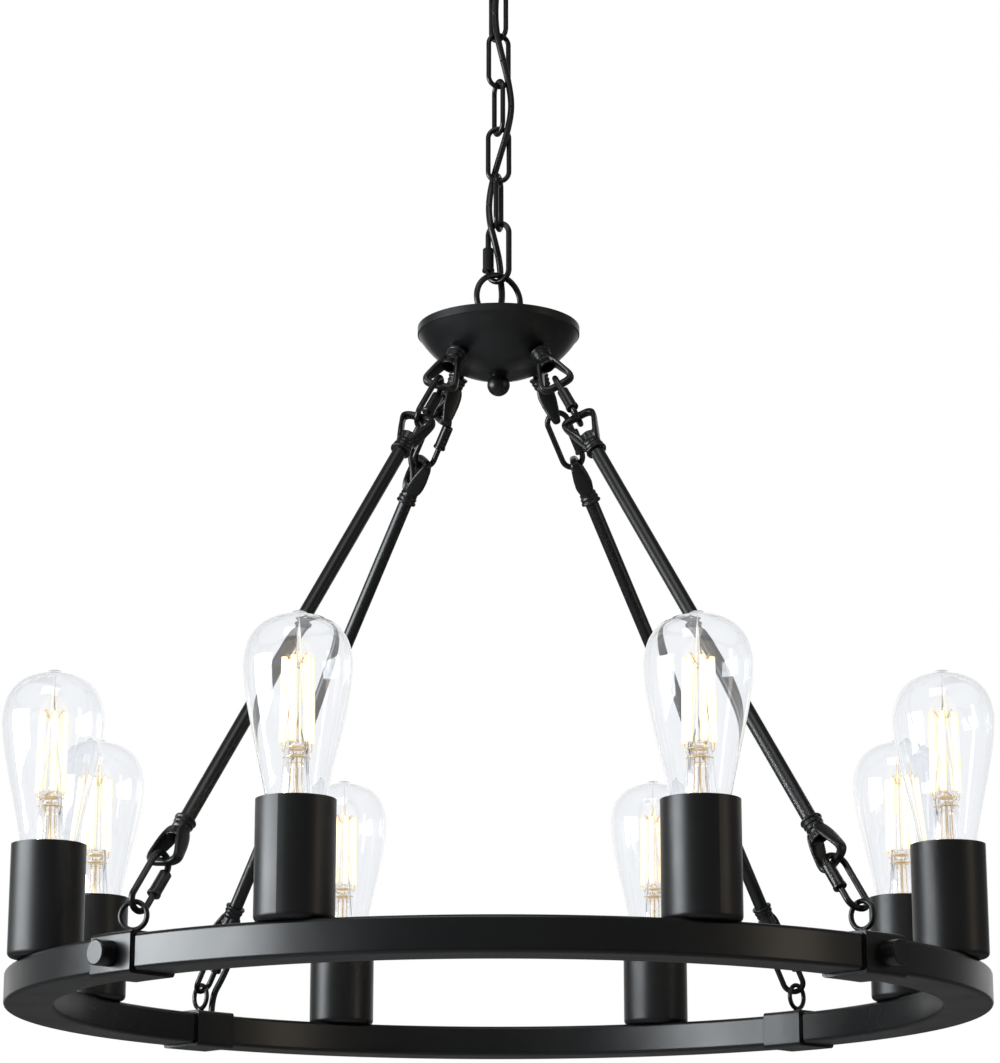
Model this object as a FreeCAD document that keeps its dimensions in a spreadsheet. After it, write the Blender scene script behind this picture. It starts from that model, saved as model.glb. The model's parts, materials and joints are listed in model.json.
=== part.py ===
"""Wagon wheel chandelier: a canopy, a five-link chain, a saucer hub, four hanging rods
and a steel ring with eight bulbs. The origin is on the ceiling, under the mounting strap's
centre, with +Z up and the front of the chandelier towards -Y. Lengths are in millimetres."""
import FreeCAD, Part
import math
import os
import Sketcher
from FreeCAD import Placement, Rotation, Vector

X_AXIS, Y_AXIS, Z_AXIS = Vector(1, 0, 0), Vector(0, 1, 0), Vector(0, 0, 1)
BULB_AZIMUTHS = [22.5 + 45 * k for k in range(8)]
LEG_AZIMUTHS = {"front_left": 225, "front_right": 315, "back_right": 45, "back_left": 135}

DIMENSIONS = {
    # ceiling canopy
    "canopy_radius": 65, "canopy_depth": 30, "canopy_flat_radius": 24, "canopy_wall": 1.6,
    "canopy_rim_height": 3, "canopy_bulge": 58,
    "strap_length": 102, "strap_width": 22, "strap_thickness": 2.4,
    "strap_slot_spacing": 76, "strap_slot_length": 16, "strap_slot_radius": 2.4,
    # threaded nipples and their nuts
    "nipple_radius": 4.75, "nipple_bore_radius": 3, "nut_height": 3, "nut_radius": 8,
    # the round loops of canopy and hub
    "loop_radius": 17.5, "loop_wire_radius": 2.05, "loop_base_radius": 9,
    "loop_base_height": 7, "loop_base_drop": 1.5, "loop_thread_depth": 3.5,
    # chain links, and the gap left where two wires hang on each other
    "chain_length": 42.7, "chain_width": 18, "chain_wire": 3.5, "wire_gap": 0.3,
    # quick links and their screw gates
    "main_length": 46.5, "main_width": 20.3, "link_length": 44.5, "link_width": 18.5,
    "link_wire": 4, "gate_length": 17.5, "gate_radius": 3.9, "gate_clearance": 0.06,
    "gate_slot": 6.5, "gate_chamfer": 0.8, "gate_lip": 0.4, "gate_lip_height": 2,
    # hub
    "hub_radius": 55.8, "hub_band_height": 5.6, "hub_bowl_depth": 28.8, "hub_wall": 1.8,
    "hub_flat_radius": 14, "hub_bowl_bulge": 62, "hub_cover_radius": 53.5,
    "hub_cover_thickness": 1.6, "finial_radius": 7.8, "finial_seat_radius": 5.6,
    "finial_height": 14.2, "finial_thread_depth": 3.5,
    "cord_hole_radius": 3.2, "cord_hole_offset": 15,
    # cast hooks at both ends of every rod and under the hub
    "hook_stub_length": 7, "hook_stub_radius": 3.7, "hook_bore_radius": 2.9,
    "hook_flange_radius": 7.1, "hook_flange_height": 2, "hook_neck_radius": 5.4,
    "hook_bead_height": 2.7, "hook_bead_radius": 1.7, "hook_bell_radius": 7.6,
    "hook_bell_top": 18, "hook_reach": 32.8, "hook_bar_radius": 2.5, "hook_half_width": 12.2,
    "hook_arm_thickness": 2.8, "hook_arm_root": 6, "hook_arm_tip": 3.2,
    # legs
    "leg_root_radius": 39.3, "leg_root_drop": 344, "rod_radius": 4.75, "rod_bore_radius": 3.75,
    "eye_play": 0.8,
    # ring
    "ring_drop": 788, "ring_radius": 320, "ring_width": 32, "ring_height": 21.5,
    "ring_wall": 1.8, "ring_corner": 2.5, "collar_angle": 6.6, "collar_wall": 1.9,
    "seam_gap": 2.2, "splice_angle": 13, "splice_wall": 2.4, "splice_play": 0.2,
    "eye_radius": 8.4, "eye_wire_radius": 1.6, "eye_height": 13.5, "eye_lean": 2.5,
    "eye_shank_radius": 2.5, "eye_washer_radius": 5, "eye_washer_height": 1.2,
    "bolt_head_radius": 7.75, "bolt_head_height": 11, "bolt_shank_radius": 4,
    # lights
    "cup_radius": 23.5, "cup_height": 71, "cup_wall": 1.5, "cup_corner": 3.5,
    "holder_radius": 18, "holder_base": 6, "holder_top_gap": 7, "holder_bore_radius": 14.3,
    "holder_bore_depth": 26, "shell_wall": 0.6, "shell_height": 21,
    "bulb_depth": 31, "bulb_radius": 32, "bulb_length": 143, "bulb_belt": 111,
    "bulb_glass": 1, "bulb_pip_radius": 5.5, "bulb_pip_height": 5.5, "cap_radius": 13.1,
    "cap_height": 25, "cap_tip_radius": 5, "stem_radius": 6, "stem_height": 62,
    "filament_radius": 1, "filament_length": 52, "filament_circle": 9,
    # cords
    "cord_diameter": 4.6,
}

doc = FreeCAD.newDocument("wagon_wheel_chandelier")
sheet = doc.addObject("Spreadsheet::Sheet", "Dims")
for row, (alias, number) in enumerate(DIMENSIONS.items(), start=1):
    sheet.set(f"A{row}", alias.replace("_", " "))
    sheet.set(f"B{row}", str(number))
    sheet.setAlias(f"B{row}", alias)
doc.recompute()


class Size:
    """A length known both as a number and as the formula of sheet cells that gives it."""

    def __init__(self, value, text):
        self.value = float(value)
        self.text = text

    def __add__(self, other):
        other = size(other)
        return Size(self.value + other.value, f"({self.text} + {other.text})")

    def __sub__(self, other):
        other = size(other)
        return Size(self.value - other.value, f"({self.text} - {other.text})")

    def __mul__(self, other):
        other = size(other)
        return Size(self.value * other.value, f"({self.text} * {other.text})")

    def __truediv__(self, other):
        other = size(other)
        return Size(self.value / other.value, f"({self.text} / {other.text})")

    def __radd__(self, other):
        return size(other) + self

    def __rsub__(self, other):
        return size(other) - self

    def __neg__(self):
        return Size(-self.value, f"(-{self.text})")

    def __float__(self):
        return self.value


def size(value):
    """A Size as it is, or a plain number as a Size."""
    if isinstance(value, Size):
        return value
    return Size(value, repr(float(value)))


def dim(alias):
    """The Size of one cell of the sheet."""
    return Size(sheet.get(alias), f"Dims.{alias}")


def bind(obj, **sizes):
    """Set each named property of obj from its Size, with its formula."""
    for name, value in sizes.items():
        value = size(value)
        setattr(obj, name, value.value)
        obj.setExpression(name, value.text)
    return obj


def put(obj, x=0, y=0, z=0, rotation=None):
    """Place obj at x, y, z, with its rotation; the three Sizes keep their formulas."""
    base = [size(x), size(y), size(z)]
    obj.Placement = Placement(Vector(*map(float, base)), rotation or Rotation())
    for letter, value in zip("xyz", base):
        obj.setExpression(f"Placement.Base.{letter}", value.text)
    return obj


def turned(axis, degrees):
    return Rotation(axis, degrees)


def moved(x=0, y=0, z=0, rotation=None):
    """A plain placement, for copies."""
    return Placement(Vector(float(x), float(y), float(z)), rotation or Rotation())


# ---------------------------------------------------------------- sketched bodies


def plane(body, role):
    return next(f for f in body.Origin.OriginFeatures if f.Role == role)


def new_sketch(body, name, role):
    sketch = body.newObject("Sketcher::SketchObject", name)
    sketch.AttachmentSupport = [(plane(body, role), "")]
    sketch.MapMode = "FlatFace"
    return sketch


def pin(sketch, edge, end, point):
    """Fix one end of a sketch edge at a point of two Sizes."""
    for kind, axis, value in (("DistanceX", -2, point[0]), ("DistanceY", -1, point[1])):
        if abs(value.value) < 1e-9:
            sketch.addConstraint(Sketcher.Constraint("PointOnObject", edge, end, axis))
        else:
            number = sketch.addConstraint(
                Sketcher.Constraint(kind, -1, 1, edge, end, value.value)
            )
            sketch.setExpression(f"Constraints[{number}]", value.text)


def arc_between(a, b, radius):
    """The arc from a to b whose centre is on the left of the way there (radius above 0) or
    on the right (below 0), always less than a half turn."""
    way = b - a
    half = way.Length / 2
    left = Vector(-way.y, way.x, 0).normalize()
    off = math.sqrt(max(radius * radius - half * half, 0))
    centre = (a + b) / 2 + left * math.copysign(off, radius)
    first, last = (a, b) if radius > 0 else (b, a)
    angles = [math.atan2(p.y - centre.y, p.x - centre.x) for p in (first, last)]
    circle = Part.Circle(centre, Z_AXIS, abs(radius))
    return Part.ArcOfCircle(circle, angles[0], angles[1] + (angles[1] < angles[0]) * 2 * math.pi)


def outline(sketch, *steps):
    """A closed outline. Each step is (x, y) for a straight edge to the next corner, or
    (x, y, radius) for an arc to it."""
    corners = [(size(step[0]), size(step[1])) for step in steps]
    points = [Vector(x.value, y.value, 0) for x, y in corners]
    ends = []
    for number, step in enumerate(steps):
        a, b = points[number], points[(number + 1) % len(points)]
        if len(step) == 2:
            edge = sketch.addGeometry(Part.LineSegment(a, b), False)
            ends.append((edge, 1, 2))
        else:
            radius = size(step[2])
            edge = sketch.addGeometry(arc_between(a, b, radius.value), False)
            ends.append((edge, 1, 2) if radius.value > 0 else (edge, 2, 1))
            number_of = sketch.addConstraint(
                Sketcher.Constraint("Radius", edge, abs(radius.value))
            )
            sketch.setExpression(f"Constraints[{number_of}]", f"abs({radius.text})")
    for number, (edge, start, end) in enumerate(ends):
        following = ends[(number + 1) % len(ends)]
        sketch.addConstraint(
            Sketcher.Constraint("Coincident", edge, end, following[0], following[1])
        )
        pin(sketch, edge, start, corners[number])


def hole_in(sketch, x, y, radius):
    """A circle in a sketch at x, y."""
    x, y, radius = size(x), size(y), size(radius)
    edge = sketch.addGeometry(
        Part.Circle(Vector(x.value, y.value, 0), Z_AXIS, radius.value), False
    )
    number = sketch.addConstraint(Sketcher.Constraint("Radius", edge, radius.value))
    sketch.setExpression(f"Constraints[{number}]", radius.text)
    pin(sketch, edge, 3, (x, y))


def rounded_box(sketch, x0, y0, x1, y1, r):
    """A rectangle with four round corners of radius r."""
    outline(
        sketch,
        (x0 + r, y0), (x1 - r, y0, r), (x1, y0 + r), (x1, y1 - r, r),
        (x1 - r, y1), (x0 + r, y1, r), (x0, y1 - r), (x0, y0 + r, r),
    )


def revolved(name, *outlines, angle=360):
    """A body turned about its Z axis from outlines of (radius, height) corners."""
    body = doc.addObject("PartDesign::Body", name)
    sketch = new_sketch(body, f"{name}_profile", "XZ_Plane")
    for steps in outlines:
        outline(sketch, *steps)
    return spun(body, sketch, angle)


def spun(body, sketch, angle):
    turn = body.newObject("PartDesign::Revolution", f"{body.Name}_turn")
    turn.Profile = sketch
    turn.ReferenceAxis = (sketch, ["V_Axis"])
    bind(turn, Angle=angle)
    sketch.Visibility = False
    return body


# ---------------------------------------------------------------- solid primitives


def cylinder(name, radius, height, x=0, y=0, z=0, rotation=None):
    made = doc.addObject("Part::Cylinder", name)
    bind(made, Radius=radius, Height=height)
    return put(made, x, y, z, rotation)


def half_ring(name, radius, wire_radius, z=0, rotation=None, sweep=180):
    made = doc.addObject("Part::Torus", name)
    bind(made, Radius1=radius, Radius2=wire_radius, Angle3=sweep)
    return put(made, 0, 0, z, rotation)


def fused(name, *shapes):
    made = doc.addObject("Part::MultiFuse", name)
    made.Shapes = list(shapes)
    made.Refine = True
    return made


def cut(name, base, tool):
    made = doc.addObject("Part::Cut", name)
    made.Base, made.Tool = base, tool
    return made


def group(name, *shapes):
    made = doc.addObject("Part::Compound", name)
    made.Links = list(shapes)
    return made


def copies(name, source, placements):
    """One node of several separate solids, all like source."""
    placed = []
    for number, placement in enumerate(placements, start=1):
        one = group(f"{name}_{number}", source)
        one.Placement = placement
        placed.append(one)
    return group(name, *placed)


def around(azimuth, radius, z, own=None):
    """A placement at an azimuth of the ring, its X axis pointing outwards."""
    turn = turned(Z_AXIS, azimuth)
    centre = turn.multVec(Vector(float(radius), 0, float(z)))
    return Placement(centre, turn).multiply(own or Placement())


# ---------------------------------------------------------------- heights and places

canopy_bottom = -dim("canopy_depth")
loop_seat = dim("loop_radius") + dim("loop_wire_radius") + dim("loop_base_drop")
canopy_loop_z = canopy_bottom - loop_seat
canopy_loop_low = canopy_loop_z - dim("loop_radius")
chain_centres = dim("chain_length") - dim("chain_wire")
hang = dim("chain_wire") + dim("wire_gap")
chain_pitch = chain_centres - hang
first_crown = (
    canopy_loop_low + dim("loop_wire_radius") + dim("chain_wire") / 2 + dim("wire_gap")
)
CHAIN_YAWS = [-45, 18, -66, 0, 76]
MAIN_YAW, HUB_LOOP_YAW, CANOPY_LOOP_YAW = -29, 31, 35
last_chain_low = first_crown - chain_pitch * (len(CHAIN_YAWS) - 1) - chain_centres
link_on_chain = dim("chain_wire") / 2 + dim("link_wire") / 2 + dim("wire_gap")
main_top = last_chain_low + link_on_chain
main_low = main_top - (dim("main_length") - dim("link_wire"))
hub_loop_top = main_low + dim("link_wire") / 2 + dim("loop_wire_radius") + dim("wire_gap")
hub_loop_z = hub_loop_top - dim("loop_radius")
hub_cover_z = hub_loop_z - loop_seat
hub_bottom_z = hub_cover_z - dim("hub_bowl_depth") - dim("hub_band_height")

ring_bottom = -dim("ring_drop")
ring_top = ring_bottom + dim("ring_height")
ring_middle = dim("ring_radius") - dim("ring_width") / 2
eye_z = ring_top + dim("eye_height")
cup_top = ring_top + dim("cup_height")

# Each leg is straight, from its hook's seat on the hub to the inner top of its eye.
eye_lean = dim("eye_lean")
eye_contact_r = ring_middle - eye_lean
eye_contact_z = eye_z + dim("eye_radius") - 0.7
leg_run = float(eye_contact_r - dim("leg_root_radius"))
leg_fall = float(-dim("leg_root_drop") - eye_contact_z)
leg_tilt = math.degrees(math.atan2(leg_run, leg_fall))
leg_length = math.hypot(leg_run, leg_fall)
link_centres = float(dim("link_length") - dim("link_wire"))
bar_in_link = float(dim("hook_bar_radius") + dim("link_wire") / 2)
hook_reach = float(dim("hook_reach"))
hub_bar = hook_reach
upper_crown = hub_bar - bar_in_link - float(dim("wire_gap"))
upper_low = upper_crown + link_centres
rod_bar = upper_low - bar_in_link - 0.1
rod_start = rod_bar + hook_reach
lower_low = (
    leg_length + float(dim("eye_wire_radius") + dim("link_wire") / 2 + dim("eye_play"))
)
lower_crown = lower_low - link_centres
lower_bar = lower_crown + bar_in_link + 0.1
rod_end = lower_bar - hook_reach
rod_length = rod_end - rod_start

# How far each leg's upper and lower links are turned about the leg, and its eye about Z.
UPPER_TURN = {"front_left": 55, "front_right": -33, "back_right": -40, "back_left": 20}
LOWER_TURN = {"front_left": 80, "front_right": 12, "back_right": -22, "back_left": -14}
EYE_TURN = {"front_left": -60, "front_right": 0, "back_right": 4, "back_left": -8}
# Which end of each quick link its closed gate sits at: 1 towards the hub, -1 away from it.
UPPER_GATE = {"front_left": 1, "front_right": -1, "back_right": -1, "back_left": 1}


def eye_place(leg, z):
    """Where a leg's eye stands: its inner top is on the leg's line, whichever way the eye
    is turned."""
    azimuth = LEG_AZIMUTHS[leg]
    pull = turned(Z_AXIS, azimuth).multVec(Vector(float(eye_contact_r), 0, float(z)))
    own = turned(Z_AXIS, azimuth + EYE_TURN[leg])
    return Placement(pull + own.multVec(Vector(float(eye_lean), 0, 0)), own)


def along_leg(azimuth, distance, turn=0):
    """A placement on a leg's line: Z runs down the leg, and X is turned about it from the
    leg's own upright plane."""
    start = Vector(float(dim("leg_root_radius")), 0, -float(dim("leg_root_drop")))
    down_leg = turned(Y_AXIS, 180 - leg_tilt)
    # X of the leg frame points up and outwards in the upright plane
    frame = turned(Z_AXIS, azimuth).multiply(down_leg).multiply(turned(Z_AXIS, 180))
    origin = turned(Z_AXIS, azimuth).multVec(start)
    origin = origin + frame.multVec(Vector(0, 0, distance))
    return Placement(origin, frame.multiply(turned(Z_AXIS, turn)))


# ---------------------------------------------------------------- hardware shapes


def round_loop(name, bore):
    """A round wire loop standing on a short bored collar, the loop's centre at the origin."""
    ring = half_ring(
        f"{name}_wire", dim("loop_radius"), dim("loop_wire_radius"),
        rotation=turned(X_AXIS, 90), sweep=360,
    )
    low = -loop_seat
    base = cylinder(f"{name}_base", dim("loop_base_radius"), dim("loop_base_height"), z=low)
    tap = cylinder(f"{name}_tap", bore, dim("loop_thread_depth"), z=low)
    return cut(f"{name}_tapped", fused(f"{name}_solid", ring, base), tap)


def racetrack(name, length, width, wire, slot_side=0):
    """A long wire link in the XZ plane. slot_side 1 leaves a slot at one end of the -X side,
    and -1 at its other end."""
    radius, straight = (width - wire) / 2, length - width
    crowns = [
        half_ring(f"{name}_top", radius, wire / 2, straight / 2, turned(X_AXIS, 90)),
        half_ring(f"{name}_bottom", radius, wire / 2, -straight / 2, turned(X_AXIS, -90)),
    ]
    sides = [cylinder(f"{name}_right", wire / 2, straight, x=radius, z=-straight / 2)]
    if slot_side == 0:
        sides.append(cylinder(f"{name}_left", wire / 2, straight, x=-radius, z=-straight / 2))
        return fused(name, *crowns, *sides)
    short = size(0.6)
    long = straight - dim("gate_slot") - short
    low, high = (long, short) if slot_side > 0 else (short, long)
    sides.append(cylinder(f"{name}_lower", wire / 2, low, x=-radius, z=-straight / 2))
    sides.append(cylinder(f"{name}_upper", wire / 2, high, x=-radius, z=straight / 2 - high))
    return fused(name, *crowns, *sides)


def gate_sleeve(name):
    """The nut of a quick link: a round sleeve with a low lip round one end."""
    inner = dim("link_wire") / 2 + dim("gate_clearance")
    outer, length, chamfer = dim("gate_radius"), dim("gate_length"), dim("gate_chamfer")
    lip, lip_top = outer + dim("gate_lip"), dim("gate_lip_height")
    return revolved(name, [
        (inner, 0), (outer, 0), (lip, dim("gate_lip")), (lip, lip_top),
        (outer, lip_top + dim("gate_lip")), (outer, length - chamfer),
        (outer - chamfer, length), (inner, length),
    ])


def gate_place(width, length, slot_side):
    """Where the closed gate sits on its link, from the link's centre."""
    radius, straight = (width - dim("link_wire")) / 2, length - width
    foot = straight / 2 - dim("gate_length") if slot_side > 0 else -straight / 2
    return moved(x=-radius, z=foot)


def cast_hook(name):
    """The cast hook on a rod's end: stub, flange, two beads and an open bell that carries
    two flared arms and a round bar. The flange's seat is at the origin, the bar along X."""
    neck, bead = dim("hook_neck_radius"), dim("hook_bead_height")
    flange, bore = dim("hook_flange_radius"), dim("hook_bore_radius")
    stub, bell = dim("hook_stub_length"), dim("hook_bell_radius")
    seat = stub + dim("hook_flange_height")
    top = stub + dim("hook_bell_top")
    body = revolved(f"{name}_body", [
        (bore, 0), (dim("hook_stub_radius"), 0), (dim("hook_stub_radius"), stub),
        (flange, stub), (flange, seat), (neck, seat + 0.6, dim("hook_bead_radius")),
        (neck, seat + 0.6 + bead, dim("hook_bead_radius")), (neck, seat + 0.6 + bead * 2),
        (bell, top - 2), (bell, top), (bell - 1.6, top), (bore, top - 7),
    ])
    put(body, z=-stub)
    reach, half, thick = (
        dim("hook_reach"), dim("hook_half_width"), dim("hook_arm_thickness")
    )
    arms = []
    for side in (0, 180):
        arm = doc.addObject("Part::Wedge", f"{name}_arm_{side}")
        bind(
            arm,
            Ymin=dim("hook_bell_top") - 4, Ymax=reach,
            Xmin=bell - thick - 0.4, Xmax=bell - 0.2, X2min=half - thick, X2max=half,
            Zmin=-dim("hook_arm_root"), Zmax=dim("hook_arm_root"),
            Z2min=-dim("hook_arm_tip"), Z2max=dim("hook_arm_tip"),
        )
        arms.append(put(arm, rotation=turned(Z_AXIS, side).multiply(turned(X_AXIS, 90))))
    bar = cylinder(
        f"{name}_bar", dim("hook_bar_radius"), half * 2, x=-half, z=reach,
        rotation=turned(Y_AXIS, 90),
    )
    ends = [
        cylinder(
            f"{name}_end_{side}", dim("hook_arm_tip"), thick,
            x=-half if side else half - thick, z=reach, rotation=turned(Y_AXIS, 90),
        )
        for side in (0, 1)
    ]
    return fused(name, body, *arms, bar, *ends)


def hex_nut(name, radius, bore, height):
    prism = doc.addObject("Part::Prism", f"{name}_hexagon")
    prism.Polygon = 6
    bind(prism, Circumradius=radius, Height=height)
    return cut(name, prism, cylinder(f"{name}_thread", bore, height))


# ---------------------------------------------------------------- canopy


def canopy_dish():
    """A shallow dish, its rim against the ceiling and the loop under its flat middle."""
    wall, depth, radius = dim("canopy_wall"), dim("canopy_depth"), dim("canopy_radius")
    flat, rim, bulge = dim("canopy_flat_radius"), dim("canopy_rim_height"), dim("canopy_bulge")
    body = revolved("canopy_shell", [
        (dim("nipple_radius") + 0.2, 0), (flat, 0, bulge), (radius, depth - rim),
        (radius, depth), (radius - wall, depth), (radius - wall, depth - rim, -bulge),
        (flat, wall), (dim("nipple_radius") + 0.2, wall),
    ])
    put(body, z=-depth)
    entry = cylinder("canopy_cord_hole", dim("cord_hole_radius"), wall * 3, y=-18,
                     z=-depth - wall)
    return cut("canopy_dish", body, entry)


def mounting_strap():
    """The flat bar that two screws hold to the ceiling box, tapped for the nipple."""
    body = doc.addObject("PartDesign::Body", "strap_blank")
    sketch = new_sketch(body, "strap_outline", "XY_Plane")
    length, width = dim("strap_length"), dim("strap_width")
    spacing, slot = dim("strap_slot_spacing"), dim("strap_slot_length")
    r = dim("strap_slot_radius")
    corner = size(4)
    rounded_box(sketch, -length / 2, -width / 2, length / 2, width / 2, corner)
    hole_in(sketch, 0, 0, dim("nipple_radius"))
    pad = body.newObject("PartDesign::Pad", "strap_pad")
    pad.Profile = sketch
    bind(pad, Length=dim("strap_thickness"))
    slots = []
    for side in (-1, 1):
        centre = spacing * (side / 2)
        for end in (-1, 1):
            slots.append(cylinder(
                f"slot_end_{len(slots)}", r, 10, x=centre + (slot / 2 - r) * end, z=-5
            ))
        middle = doc.addObject("Part::Box", f"slot_middle_{len(slots)}")
        bind(middle, Length=slot - r * 2, Width=r * 2, Height=10)
        slots.append(put(middle, centre - slot / 2 + r, -r, -5))
    strap = cut("mounting_strap", body, fused("strap_slots", *slots))
    return put(strap, z=-dim("strap_thickness"))


def tube(name, outer, inner, length, z):
    return put(revolved(name, [(inner, 0), (outer, 0), (outer, length), (inner, length)]), z=z)


def canopy_parts():
    thread, bore = dim("nipple_radius"), dim("nipple_bore_radius")
    strap = dim("strap_thickness")
    top = -size(0.4)
    bottom = canopy_bottom - dim("loop_thread_depth")
    nipple = tube("canopy_nipple", thread, bore, top - bottom, bottom)
    nut = hex_nut("nipple_nut", dim("nut_radius"), thread, dim("nut_height"))
    nuts = copies("canopy_nuts", nut, [
        moved(z=-strap - dim("nut_height")),
        moved(z=canopy_bottom + dim("canopy_wall")),
    ])
    loop = round_loop("canopy_loop_shape", thread)
    turned_loop = group("canopy_loop", loop)
    upside_down = turned(Z_AXIS, CANOPY_LOOP_YAW).multiply(turned(X_AXIS, 180))
    turned_loop.Placement = moved(z=canopy_loop_z, rotation=upside_down)
    return [canopy_dish(), mounting_strap(), nipple, nuts, turned_loop]


# ---------------------------------------------------------------- chain


def chain_parts():
    link = racetrack("chain_link", dim("chain_length"), dim("chain_width"), dim("chain_wire"))
    made = []
    for number, yaw in enumerate(CHAIN_YAWS):
        one = group(f"chain_link_{number + 1}", link)
        centre = first_crown - chain_pitch * number - chain_centres / 2
        one.Placement = moved(z=centre, rotation=turned(Z_AXIS, yaw))
        made.append(one)
    shape = racetrack(
        "main_link_wire", dim("main_length"), dim("main_width"), dim("link_wire"), -1
    )
    centre = moved(z=(main_top + main_low) / 2, rotation=turned(Z_AXIS, MAIN_YAW))
    main = group("main_link", shape)
    main.Placement = centre
    gate = group("main_gate", doc.getObject("gate_sleeve"))
    gate.Placement = centre.multiply(gate_place(dim("main_width"), dim("main_length"), -1))
    return made + [main, gate]


# ---------------------------------------------------------------- hub


def hub_dish():
    """The saucer: an upright band, a bowl and a flat bottom, with a seat for each hook."""
    radius, wall, flat = dim("hub_radius"), dim("hub_wall"), dim("hub_flat_radius")
    depth, band, bulge = dim("hub_bowl_depth"), dim("hub_band_height"), dim("hub_bowl_bulge")
    body = revolved("hub_shell", [
        (dim("nipple_radius") + 0.2, 0), (flat, 0, bulge), (radius - 0.8, depth),
        (radius, depth + 0.4), (radius, depth + band), (radius - wall, depth + band),
        (radius - wall, depth + 0.4, -(bulge - wall)), (flat, wall),
        (dim("nipple_radius") + 0.2, wall),
    ])
    put(body, z=hub_bottom_z)
    seats = []
    for number, azimuth in enumerate(LEG_AZIMUTHS.values()):
        seat = cylinder(f"hook_seat_{number}", dim("hook_flange_radius"), 12)
        hole = cylinder(f"hook_hole_{number}", dim("hook_stub_radius"), 40, z=-20)
        both = group(f"hook_cutter_{number}", fused(f"hook_drill_{number}", seat, hole))
        both.Placement = along_leg(azimuth, 0)
        seats.append(both)
    return cut("hub_dish", body, group("hook_cutters", *seats))


def hub_parts():
    thread, bore = dim("nipple_radius"), dim("nipple_bore_radius")
    wall, radius = dim("hub_wall"), dim("hub_cover_radius")
    plate = put(revolved("cover_plate", [
        (thread + 0.2, 0), (radius, 0), (radius, dim("hub_cover_thickness")),
        (thread + 0.2, dim("hub_cover_thickness")),
    ]), z=hub_cover_z - dim("hub_cover_thickness"))
    entry = cylinder(
        "cover_cord_hole", dim("cord_hole_radius"), 10, y=-dim("cord_hole_offset"),
        z=hub_cover_z - 5,
    )
    cover = cut("hub_cover", plate, entry)
    finial_thread = hub_bottom_z - dim("finial_thread_depth")
    nipple_top = hub_cover_z + dim("loop_thread_depth")
    nipple = tube("hub_nipple", thread, bore, nipple_top - finial_thread, finial_thread)
    nut = hex_nut("hub_nut", dim("nut_radius"), thread, dim("nut_height"))
    nuts = copies("hub_nuts", nut, [
        moved(z=hub_bottom_z + wall),
        moved(z=hub_cover_z - dim("hub_cover_thickness") - dim("nut_height")),
    ])
    ball, seat, tall = dim("finial_radius"), dim("finial_seat_radius"), dim("finial_height")
    deep = tall - dim("finial_thread_depth")
    knob = revolved("finial", [
        (0, 0, ball), (ball, ball, ball), (seat, tall - 1), (seat, tall), (thread, tall),
        (thread, deep), (0, deep),
    ])
    put(knob, z=hub_bottom_z - tall)
    loop = group("hub_loop", round_loop("hub_loop_shape", thread))
    loop.Placement = moved(z=hub_loop_z, rotation=turned(Z_AXIS, HUB_LOOP_YAW))
    hooks = copies("hub_hooks", doc.getObject("cast_hook"), [
        along_leg(azimuth, 0, UPPER_TURN[leg]) for leg, azimuth in LEG_AZIMUTHS.items()
    ])
    cone = revolved("wire_nut", [(0, 0), (6.5, 0), (7, 1), (6.2, 6), (3.2, 17), (0, 18)])
    connectors = copies("wire_connectors", cone, [
        moved(x=-24, y=6, z=hub_bottom_z + 13),
        moved(x=22, y=-12, z=hub_bottom_z + 12),
        moved(x=8, y=24, z=hub_bottom_z + 12),
    ])
    return [loop, hub_dish(), cover, nipple, nuts, knob, hooks, connectors]


# ---------------------------------------------------------------- legs


def leg_parts():
    link = racetrack(
        "leg_link_up", dim("link_length"), dim("link_width"), dim("link_wire"), 1
    )
    other = racetrack(
        "leg_link_down", dim("link_length"), dim("link_width"), dim("link_wire"), -1
    )
    links = {1: link, -1: other}
    rod_shape = revolved("rod_tube", [
        (dim("rod_bore_radius"), 0), (dim("rod_radius"), 0), (dim("rod_radius"), rod_length),
        (dim("rod_bore_radius"), rod_length),
    ])
    across = moved(rotation=turned(Z_AXIS, -90)).multiply(moved(rotation=turned(X_AXIS, 180)))
    flip = moved(rotation=turned(X_AXIS, 180))
    made = []
    for leg, azimuth in LEG_AZIMUTHS.items():
        upper, lower = UPPER_TURN[leg], LOWER_TURN[leg]
        rod = group(f"rod_{leg}", rod_shape)
        rod.Placement = along_leg(azimuth, rod_start)
        hooks = copies(f"rod_hooks_{leg}", doc.getObject("cast_hook"), [
            along_leg(azimuth, rod_start, upper).multiply(flip),
            along_leg(azimuth, rod_end, lower),
        ])
        places = {
            "upper": (along_leg(azimuth, (upper_crown + upper_low) / 2, upper), UPPER_GATE[leg]),
            "lower": (along_leg(azimuth, (lower_crown + lower_low) / 2, lower), 1),
        }
        pair, gates = [], []
        for which, (centre, side) in places.items():
            one = group(f"{which}_link_{leg}", links[side])
            one.Placement = centre.multiply(across)
            pair.append(one)
            gate = group(f"{which}_gate_{leg}", doc.getObject("gate_sleeve"))
            gate.Placement = one.Placement.multiply(
                gate_place(dim("link_width"), dim("link_length"), side)
            )
            gates.append(gate)
        made += [rod, hooks, group(f"quick_links_{leg}", *pair), *gates]
    return made


# ---------------------------------------------------------------- ring


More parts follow.
